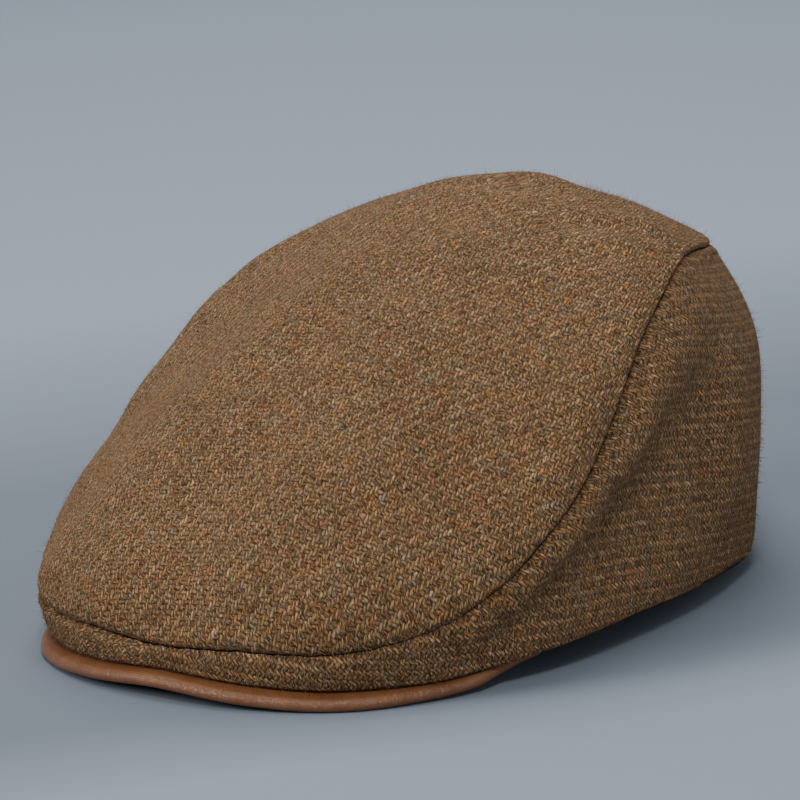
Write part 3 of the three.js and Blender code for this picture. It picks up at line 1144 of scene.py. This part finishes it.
def twill_group():
    """Two-and-two twill from a place on the cloth in millimetres."""
    group = new_group(
        "two_and_two_twill",
        (
            ("Place", "NodeSocketVector", None),
            ("Warp Spacing", "NodeSocketFloat", WARP_SPACING),
            ("Weft Spacing", "NodeSocketFloat", WEFT_SPACING),
            ("Straying", "NodeSocketFloat", THREAD_STRAYING),
        ),
        (
            ("Height", "NodeSocketFloat"),
            ("Thread", "NodeSocketFloat"),
            ("Warp On Top", "NodeSocketFloat"),
            ("Fibres", "NodeSocketFloat"),
        ),
    )
    b = Bench(group)
    given = b.put("NodeGroupInput")
    straying = b.noise(given.outputs["Place"], STRAYING_SCALE).outputs["Color"]
    centred = b.move(straying, "SUBTRACT", (0.5, 0.5, 0.5))
    shift = b.scale(centred, given.outputs["Straying"])
    x, y, _ = b.parts(b.move(given.outputs["Place"], "ADD", shift))
    across = b.maths("DIVIDE", x, given.outputs["Warp Spacing"])
    along = b.maths("DIVIDE", y, given.outputs["Weft Spacing"])
    warp, weft = b.maths("FLOOR", across), b.maths("FLOOR", along)
    in_warp, in_weft = b.maths("SUBTRACT", across, warp), b.maths("SUBTRACT", along, weft)
    lead = b.maths("SUBTRACT", warp, weft)
    step = b.maths("FLOORED_MODULO", lead, 4.0)
    warp_up = b.maths("LESS_THAN", step, 1.5)

    # Share of the way along and across the float that is on top.
    on_warp = b.maths("MULTIPLY", b.maths("ADD", b.maths("SUBTRACT", 1.0, step), in_weft), 0.5)
    on_weft = b.maths("MULTIPLY", b.maths("ADD", b.maths("SUBTRACT", step, 2.0), in_warp), 0.5)
    reach = b.mix(warp_up, on_weft, on_warp)
    side = b.mix(warp_up, in_weft, in_warp)
    off = b.maths("ABSOLUTE", b.maths("SUBTRACT", b.maths("MULTIPLY", side, 2.0), 1.0))
    round_off = b.maths("SUBTRACT", 1.0, b.maths("POWER", off, FLOAT_FULLNESS))
    dome = b.maths("SQRT", b.maths("MAXIMUM", round_off, 0.0))
    bow = b.maths("SINE", b.maths("MULTIPLY", reach, math.pi))
    level = b.mix(warp_up, WEFT_LEVEL, WARP_LEVEL)
    lift = b.maths("ADD", b.maths("MULTIPLY", bow, FLOAT_BOW), level)

    # One chance number for each float, and fibres that twist slowly round its thread. The numbers 11
    # and 3 keep warp and weft from drawing the same chances, and 40 keeps floats from sharing fibres.
    row = b.maths("FLOOR", b.maths("DIVIDE", lead, 4.0))
    thread = b.chance(b.vector(b.mix(warp_up, weft, warp), row, b.mix(warp_up, 11.0, 3.0)))
    length = b.mix(warp_up, x, y)
    breadth = b.mix(warp_up, y, x)
    spread = b.maths("MULTIPLY", breadth, FIBRES_ACROSS)
    twist = b.maths("ADD", spread, b.maths("MULTIPLY", length, FIBRE_TWIST))
    strand = b.vector(b.maths("MULTIPLY", length, FIBRES_ALONG), twist, b.maths("MULTIPLY", thread, 40.0))
    fibres = b.stretch(b.noise(strand, 1.0, rough=FIBRE_ROUGHNESS).outputs[0], *FIBRE_RANGE)
    height = b.maths("MULTIPLY", dome, lift)
    found = {"Height": height, "Thread": thread, "Warp On Top": warp_up, "Fibres": fibres}
    b.fill(b.put("NodeGroupOutput"), found)
    return group


twill = twill_group()
print("twill group with", len(twill.nodes), "nodes")

# %% [markdown]
# Heather wool is spun from fibres dyed in many colours before spinning, so each float has its own
# mix: tan, brown, olive, rust, a little blue-grey and some nearly white or nearly black.
# A group turns two chance numbers into such a mix: one for the whole float, and one for the fibres in
# it, which are light and dark side by side. Cloth and loose fuzz both use it, so that the fuzz never
# looks like another material. A second group makes the slow changes of tone that any dyed thing has.

# %% Mix the heather colours
BROWN = (0.176, 0.095, 0.042)
RUST = (0.228, 0.098, 0.038)
TAN = (0.240, 0.141, 0.064)
OLIVE = (0.160, 0.115, 0.045)
BLUE_GREY = (0.150, 0.118, 0.090)
DARK_BROWN = (0.088, 0.048, 0.023)
PALE = (0.310, 0.215, 0.125)
FIBRE_DARK = 0.26
FIBRE_LIGHT = 1.76
PATCH_SWING = 4.0
PATCH_DETAIL = 3.0
HUE_RANGE = (0.3, 0.7)


def heather_group():
    """Colour of a float or a fibre from two chance numbers."""
    group = new_group(
        "heather_mix",
        (("Thread", "NodeSocketFloat", 0.5), ("Fibres", "NodeSocketFloat", 0.5)),
        (("Colour", "NodeSocketColor"),),
    )
    b = Bench(group)
    given = b.put("NodeGroupInput")
    float_colour = b.ramp(
        given.outputs["Thread"],
        (0.0, DARK_BROWN), (0.08, BROWN), (0.24, TAN), (0.38, OLIVE), (0.5, RUST),
        (0.62, BROWN), (0.74, BLUE_GREY), (0.84, RUST), (0.94, TAN), (1.0, PALE),
    )
    fibre_colour = b.ramp(
        given.outputs["Fibres"],
        (0.0, RUST), (0.2, BROWN), (0.35, RUST), (0.5, OLIVE), (0.65, TAN), (0.8, BLUE_GREY), (1.0, TAN),
    )
    value = b.stretch(given.outputs["Fibres"], 0.0, 1.0, FIBRE_DARK, FIBRE_LIGHT)
    colour = b.scale(b.blend(0.5, float_colour, fibre_colour), value)
    b.fill(b.put("NodeGroupOutput"), {"Colour": colour})
    return group


def patches_group():
    """A slow change of tone around 1, and of hue from 0 to 1, in patches of a size in mm."""
    group = new_group(
        "soft_patches",
        (
            ("Place", "NodeSocketVector", None),
            ("Size", "NodeSocketFloat", 12.0),
            ("Strength", "NodeSocketFloat", 0.1),
        ),
        (("Tone", "NodeSocketFloat"), ("Hue", "NodeSocketFloat")),
    )
    b = Bench(group)
    given = b.put("NodeGroupInput")
    spread = b.scale(given.outputs["Place"], b.maths("DIVIDE", 1.0, given.outputs["Size"]))
    both = b.parts(b.noise(spread, 1.0, PATCH_DETAIL).outputs["Color"])
    swing = b.maths("MULTIPLY", b.maths("SUBTRACT", both[0], 0.5), PATCH_SWING)
    tone = b.maths("ADD", b.maths("MULTIPLY", swing, given.outputs["Strength"]), 1.0)
    hue = b.stretch(both[1], *HUE_RANGE)
    b.fill(b.put("NodeGroupOutput"), {"Tone": tone, "Hue": hue})
    return group


heather = heather_group()
patches = patches_group()
print("heather group with", len(heather.nodes), "nodes, patches with", len(patches.nodes))

# %% [markdown]
# The cloth's material sets the groups to work. The valleys between the floats are darker, because
# little light gets down there, and the height goes to a bump. Sheen stands for the fine nap that
# makes wool look dusty at grazing angles. The cloth itself has hardly any gloss.
# The top panel is cut with its warp running nearly from front to back. The side panels are cut with
# the warp rising steeply, so that their ribs lie almost level with the hem.

# %% Make the wool
GAP_DARKNESS = 0.12
FLOAT_BRIGHTNESS = 1.32
GAP_HEIGHTS = (0.05, 0.8)
# Painted light and shade of the ribs: weft floats are painted darker, warp floats lighter.
WEFT_PAINTED_SHADE = 0.88
WARP_PAINTED_LIGHT = 1.12
WIDE_PATCHES = 30.0
WIDE_STRENGTH = 0.07
SMALL_PATCHES = 3.5
SMALL_STRENGTH = 0.16
WARM_TINT = (1.10, 0.97, 0.88, 1)
COOL_TINT = (0.92, 1.02, 1.10, 1)
FIBRE_RELIEF = 0.4
WEAVE_DEPTH = 0.62 * MM
WOOL_NAP = {
    "Roughness": 0.95,
    "Specular IOR Level": 0.15,
    "Sheen Weight": 0.08,
    "Sheen Roughness": 0.5,
    "Sheen Tint": (0.75, 0.62, 0.48, 1),
}


def wool_material(name, turn):
    """Wool whose threads are turned on the flat cut, in degrees."""
    made, b = new_material(name)
    uv = b.put("ShaderNodeUVMap", uv_map="cloth")
    turned = b.put("ShaderNodeVectorRotate", rotation_type="Z_AXIS")
    place = b.fill(turned, {"Vector": uv.outputs[0], "Angle": math.radians(turn)}).outputs[0]
    weave = b.use(twill, Place=place).outputs
    heather_colour = b.use(heather, Thread=weave["Thread"], Fibres=weave["Fibres"]).outputs[0]
    wide = b.use(patches, Place=place, Size=WIDE_PATCHES, Strength=WIDE_STRENGTH).outputs
    small = b.use(patches, Place=place, Size=SMALL_PATCHES, Strength=SMALL_STRENGTH).outputs
    gap = b.stretch(weave["Height"], *GAP_HEIGHTS, GAP_DARKNESS, FLOAT_BRIGHTNESS)
    # Warp floats are painted lighter and weft floats darker, as painted light and shade that brings out
    # the ribs.
    lie = b.mix(weave["Warp On Top"], WEFT_PAINTED_SHADE, WARP_PAINTED_LIGHT)
    tone = b.maths("MULTIPLY", wide["Tone"], small["Tone"])
    shade = b.maths("MULTIPLY", b.maths("MULTIPLY", gap, lie), tone)
    tint = b.blend(small["Hue"], WARM_TINT, COOL_TINT)
    coloured = b.scale(b.blend(1.0, heather_colour, tint, "MULTIPLY"), shade)
    relief = b.maths("ADD", weave["Height"], b.maths("MULTIPLY", weave["Fibres"], FIBRE_RELIEF))
    b.surface(Base_Color=coloured, Normal=b.bump(relief, WEAVE_DEPTH), **WOOL_NAP)
    return made


TOP_WARP_TURN = -6
SIDE_WARP_TURN = 49
crown.data.materials.append(wool_material("wool_top", TOP_WARP_TURN))
side_left.data.materials.append(wool_material("wool_left", SIDE_WARP_TURN))
side_right.data.materials.append(wool_material("wool_right", -SIDE_WARP_TURN))
print("wool on", crown.name, side_left.name, side_right.name)

# %% [markdown]
# The peak's leather is smooth tan hide with a fine grain that stretches where it is pulled round the
# edge. Cells of uneven size make the grain, a second finer layer the pores, and both also vary the
# gloss, so that the highlight along the ridge breaks up the way it does on real hide.

# %% Dye the leather
LEATHER = (0.205, 0.082, 0.032, 1)
# The next colour is painted shade for the grooves of the grain.
LEATHER_PAINTED_GROOVE_SHADE = (0.115, 0.042, 0.017, 1)
LEATHER_WORN = (0.270, 0.118, 0.052, 1)
TONE_SCALE = 0.07
TONE_RANGE = (0.35, 0.65)
WANDER_SCALE = 0.9
WANDER = 0.9
PEBBLE_SCALE = 1.4
PEBBLE_GROOVE = 0.22
PEBBLE_DEPTH = 0.09 * MM
PORE_SCALE = 3.4
PORE_ROUGHNESS = 0.6
FINE_DETAIL = 3.0
GRAIN_SHARE = 0.6
GROOVE_SHADE = 0.45
MATT_GROOVE = 0.38
GLOSSY_RIDGE = 0.24
GLOSS_RANGE = (0.2, 1.0)
WRINKLE_SCALE = (0.34, 0.11, 1.0)
WRINKLE_ROUGHNESS = 0.45
WRINKLE_DEPTH = 0.7 * MM


def leather_material(name):
    """Smooth tan leather with a pebbled grain, pores and soft wrinkles."""
    made, b = new_material(name)
    place = b.put("ShaderNodeUVMap", uv_map="cloth").outputs[0]
    wander = b.scale(b.noise(place, WANDER_SCALE).outputs["Color"], WANDER)
    cells = b.put("ShaderNodeTexVoronoi", feature="DISTANCE_TO_EDGE")
    b.fill(cells, {"Vector": b.move(place, "ADD", wander), "Scale": PEBBLE_SCALE})
    pebble = b.stretch(cells.outputs["Distance"], 0.0, PEBBLE_GROOVE)
    pores = b.noise(place, PORE_SCALE, FINE_DETAIL, PORE_ROUGHNESS).outputs[0]
    tone = b.noise(place, TONE_SCALE, FINE_DETAIL).outputs[0]
    shares = [b.maths("MULTIPLY", part, GRAIN_SHARE) for part in (pebble, pores)]
    grain = b.maths("ADD", *shares)
    # Wrinkles run across the edge, from the upper face round to the lower one.
    creased = b.move(place, "MULTIPLY", WRINKLE_SCALE)
    wrinkle = b.noise(creased, 1.0, rough=WRINKLE_ROUGHNESS).outputs[0]
    colour = b.blend(b.stretch(tone, *TONE_RANGE), LEATHER, LEATHER_WORN)
    # The grooves between the grain's cells are painted darker, as painted shade.
    colour = b.blend(b.stretch(pebble, 0.0, 1.0, GROOVE_SHADE, 0.0), colour, LEATHER_PAINTED_GROOVE_SHADE)
    gloss = b.stretch(grain, *GLOSS_RANGE, MATT_GROOVE, GLOSSY_RIDGE)
    wrinkled = b.bump(wrinkle, WRINKLE_DEPTH)
    b.surface(Base_Color=colour, Roughness=gloss, Normal=b.bump(grain, PEBBLE_DEPTH, Normal=wrinkled))
    return made


peak.data.materials.append(leather_material("tan_leather"))
print("leather on", peak.name)

# %% [markdown]
# Wool cloth is never bald: short ends of fibre stand out of the threads everywhere, and against the
# light they show as a soft halo round the outline. Hair particles would need a renderer's help, so
# each fibre is a thin bent ribbon. Its root is on the cloth, it leans some way, and it is mostly short
# and now and then long. Two chance numbers in its UV map give it a colour from the heather mix.

# %% Raise the loose fibres
FUZZ_SHORTEST = 0.6
FUZZ_MORE = 0.7
FUZZ_LONGEST = 3.2
FUZZ_WIDTH = 0.09
FUZZ_TIP = 0.4
FUZZ_ROOT = 0.1
FUZZ_STEPS = 3
FUZZ_LEAN = 1.45
FUZZ_RISE = 0.35
FUZZ_CURL = 0.8
FUZZ_BRIGHTNESS = 1.3


def fuzz_material(name):
    """Heather colours for ribbons whose UV map holds two chance numbers."""
    made, b = new_material(name)
    thread, fibres, _ = b.parts(b.put("ShaderNodeUVMap", uv_map="cloth").outputs[0])
    colour = b.use(heather, Thread=thread, Fibres=fibres).outputs[0]
    b.surface(Base_Color=b.scale(colour, FUZZ_BRIGHTNESS), **WOOL_NAP)
    return made


def ribbons(name, root, normal, aside, length, lean, curl, chances):
    """Bent ribbons, one for each root, that taper towards their ends and stay above the floor."""
    line = [root - FUZZ_ROOT * normal]
    for k in range(FUZZ_STEPS):
        turn = (lean + curl * k / FUZZ_STEPS)[:, None]
        step = np.cos(turn) * normal + np.sin(turn) * aside
        line.append(line[-1] + step * (length / FUZZ_STEPS)[:, None])
    line = np.stack(line, axis=1)
    line[..., 2] = np.maximum(line[..., 2], 0)
    flat = np.cross(normal, aside) * FUZZ_WIDTH / 2
    taper = np.linspace(1, FUZZ_TIP, FUZZ_STEPS + 1)[None, :, None]
    sides = np.stack([line - flat[:, None] * taper, line + flat[:, None] * taper], axis=2)
    first = np.arange(len(root))[:, None] * 2 * (FUZZ_STEPS + 1) + 2 * np.arange(FUZZ_STEPS)
    faces = np.stack([first, first + 1, first + 3, first + 2], -1).reshape(-1, 4).tolist()
    places = np.repeat(chances, 2 * (FUZZ_STEPS + 1), axis=0)
    made = mesh_object(name, sides.reshape(-1, 3), faces, places)
    made.data.materials.append(loose_wool)
    return made


def fuzz(name, skin, outward, count, seed):
    """Loose fibres with their roots spread evenly over a skin."""
    dice = np.random.default_rng(seed)
    across = skin[1:, :-1] - skin[:-1, :-1]
    along = skin[:-1, 1:] - skin[:-1, :-1]
    area = np.linalg.norm(np.cross(across, along), axis=-1)
    cell = dice.choice(area.size, size=count, p=(area / area.sum()).ravel())
    i, j = np.unravel_index(cell, area.shape)
    u, v = dice.uniform(size=(2, count, 1))
    root = skin[i, j] + across[i, j] * u + along[i, j] * v
    normal = outward[i, j]
    aside = unit(np.cross(normal, dice.normal(size=(count, 3))))
    length = np.minimum(FUZZ_SHORTEST + dice.exponential(FUZZ_MORE, count), FUZZ_LONGEST)
    lean = FUZZ_LEAN - dice.exponential(FUZZ_RISE, count)
    curl = dice.normal(0, FUZZ_CURL, count)
    return ribbons(name, root, normal, aside, length, lean, curl, dice.uniform(size=(count, 2)))


loose_wool = fuzz_material("loose_wool")
FUZZ_PIECES = (
    # name, skin, directions, count, seed
    ("crown_fuzz", crown_skin, crown_out, 32000, 11),
    ("side_fuzz_left", left_skin, left_out, 16000, 12),
    ("side_fuzz_right", right_skin, right_out, 16000, 13),
)
fuzz_pieces = [fuzz(*row) for row in FUZZ_PIECES]

# %% [markdown]
# The cap stands on a wide sheet of pale blue-grey paper. The camera looks down on it, so the paper alone
# fills the picture. A soft, darker band of painted shade crosses it just behind the cap, and the paper in
# front of the cap is painted a little darker as well, also as painted shade. A mask from the place on the
# floor gives that band, turned a little against the picture.

# %% Roll out the floor
FLOOR_HALF_WIDTH = 2.6
FLOOR_FRONT = 1.4
FLOOR_BACK = 3.2
PAPER = (0.315, 0.372, 0.465)
# Painted shade: the paper is darker in front of the cap and darker still in a band behind it.
PAPER_NEAR_SHADE = (0.270, 0.318, 0.392)
PAPER_BAND_SHADE = (0.168, 0.200, 0.252)
PAPER_ROUGHNESS = 0.85
BAND_TURN = math.radians(20)
BAND_MIDDLE = 0.5
away = Vector((-backward.x, -backward.y, 0)).normalized()
aside = Vector((away.y, -away.x, 0))
corners = []
for reach, hand in ((-FLOOR_FRONT, -1), (-FLOOR_FRONT, 1), (FLOOR_BACK, 1), (FLOOR_BACK, -1)):
    corners.append(tuple(away * reach + aside * (hand * FLOOR_HALF_WIDTH)))
floor_mesh = bpy.data.meshes.new("floor")
floor_mesh.from_pydata(corners, [], [(0, 1, 2, 3)])
floor = bpy.data.objects.new("floor", floor_mesh)
bpy.context.scene.collection.objects.link(floor)
paper, b = new_material("paper")
band = away * math.cos(BAND_TURN) - aside * math.sin(BAND_TURN)
across_band = b.put("ShaderNodeVectorMath", operation="DOT_PRODUCT")
b.join(b.put("ShaderNodeTexCoord").outputs["Object"], across_band.inputs[0])
b.join(band, across_band.inputs[1])
# The ramp paints the shade: darker in front, darkest in the band, plain paper far behind.
paper_and_painted_shade = b.ramp(
    b.maths("ADD", across_band.outputs["Value"], BAND_MIDDLE),
    (0.0, PAPER_NEAR_SHADE), (0.36, PAPER_NEAR_SHADE), (0.42, PAPER_BAND_SHADE), (0.68, PAPER_BAND_SHADE), (0.95, PAPER),
)
b.surface(Base_Color=paper_and_painted_shade, Roughness=PAPER_ROUGHNESS)
floor_mesh.materials.append(paper)
print("floor of", 2 * FLOOR_HALF_WIDTH, "by", FLOOR_FRONT + FLOOR_BACK, "m")

# %% [markdown]
# A broad soft light hangs over the cap. A lower one in front lights the strip above the peak, and a
# small one high on the right skims over the side, so that its weave stands out in the shade. A weak
# one stands low on the right for the sheen on the leather's end, and a weak one behind on the right
# softens the shadow at the back corner. The last hangs behind the cap and keeps the far part of the
# paper bright.

# %% Hang the lights
LIGHT_COLOUR = (1.0, 0.98, 0.95)
ROOM_COLOUR = (0.82, 0.9, 1.0, 1)
ROOM_STRENGTH = 0.2
behind = away * 1.5
LIGHTS = (
    # name, place, aim, size, power
    ("key", (-0.25, 0.1, 1.4), (0, 0, 0.05), 0.9, 9.4),
    ("front", (-0.9, -1.3, 0.8), (0, 0, 0.05), 0.6, 14.5),
    ("side", (0.7, -0.9, 1.3), (0, 0, 0.05), 0.3, 10),
    ("low", (1.2, -0.5, 0.45), (0, 0, 0.04), 0.35, 2.2),
    ("corner", (0.5, 0.9, 0.5), (0.07, 0.06, 0.02), 0.4, 1.4),
    ("far", (behind.x, behind.y, 1.4), (behind.x, behind.y, 0), 1.0, 13),
)
for name, place_of_light, aim, size, power in LIGHTS:
    lamp = bpy.data.lights.new(name, "AREA")
    lamp.shape = "SQUARE"
    lamp.size = size
    lamp.energy = power
    lamp.color = LIGHT_COLOUR
    held = bpy.data.objects.new(name, lamp)
    bpy.context.scene.collection.objects.link(held)
    held.location = place_of_light
    held.rotation_euler = (Vector(aim) - Vector(place_of_light)).to_track_quat("-Z", "Y").to_euler()
room = bpy.data.worlds.new("room")
bpy.context.scene.world = room
room.use_nodes = True
room_light = room.node_tree.nodes["Background"].inputs
room_light["Color"].default_value = ROOM_COLOUR
room_light["Strength"].default_value = ROOM_STRENGTH
print(len(LIGHTS), "soft lights and a dim room")

# %% [markdown]
# Last, each piece is fixed to the frame: it rides on the cap's one body, and the panels and the peak hide
# the plain solids they stand for. The three wool panels are sheets of cloth; the area of each cut is
# worked out here but not used.

# %% Fix the pieces to the frame
panels = (
    (crown, "crown_top", top_cut),
    (side_left, "side_left", side_cut),
    (side_right, "side_right", side_cut),
)
for piece, node, cut in panels:
    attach(piece, "root")
    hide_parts(node)
    float(cut.area() * MM * MM)
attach(peak, "root")
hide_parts("peak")
for piece in fuzz_pieces:
    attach(piece, "root")

# %% Finish the scene
print("scene built")
